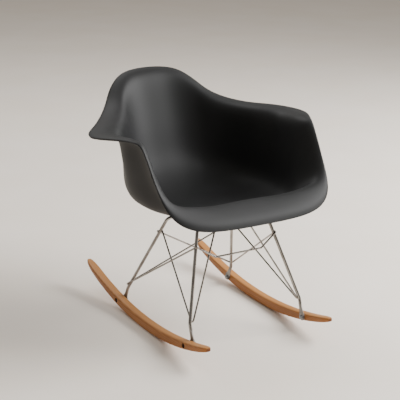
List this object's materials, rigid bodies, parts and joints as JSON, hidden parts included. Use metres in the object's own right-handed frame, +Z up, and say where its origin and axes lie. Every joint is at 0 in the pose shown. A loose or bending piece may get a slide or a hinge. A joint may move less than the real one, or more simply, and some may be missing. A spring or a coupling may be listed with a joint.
{
  "type": "rocking armchair",
  "caption": "Moulded plastic armchair shell with a rolled rim, on a bent-wire base bolted to two curved wooden rockers.",
  "frame": {"origin": "on the floor, under the middle of the chair's box in plan", "axes": "+X to the viewer's right when facing the chair, -Y the way the sitter faces, +Z up"},
  "size_m": [0.6427, 0.682, 0.632],
  "materials": {
    "shell_plastic": "fine moulded texture, satin charcoal",
    "insert_brass": "machined",
    "pad_rubber": "matte",
    "base_chrome": "bright plated wire",
    "fixing_steel": "zinc plated",
    "nut_steel": "blackened",
    "rocker_wood": "satin lacquered hardwood"
  },
  "bodies": {
    "root": {"seat_shell": "shell_plastic", "threaded_inserts": "insert_brass", "rubber_pads": "pad_rubber", "front_left_mount_tab": "base_chrome", "front_right_mount_tab": "base_chrome", "rear_left_mount_tab": "base_chrome", "rear_right_mount_tab": "base_chrome", "shell_washers": "fixing_steel", "shell_screws": "fixing_steel", "front_hoop": "base_chrome", "rear_hoop": "base_chrome", "rear_left_vee": "base_chrome", "rear_right_vee": "base_chrome", "front_left_vee": "base_chrome", "front_right_vee": "base_chrome", "front_cross_wire": "base_chrome", "left_rail": "base_chrome", "right_rail": "base_chrome", "left_rocker": "rocker_wood", "right_rocker": "rocker_wood", "rocker_bolts": "fixing_steel", "rocker_washers": "fixing_steel", "rocker_sleeve_nuts": "nut_steel"}
  },
  "joints": []
}
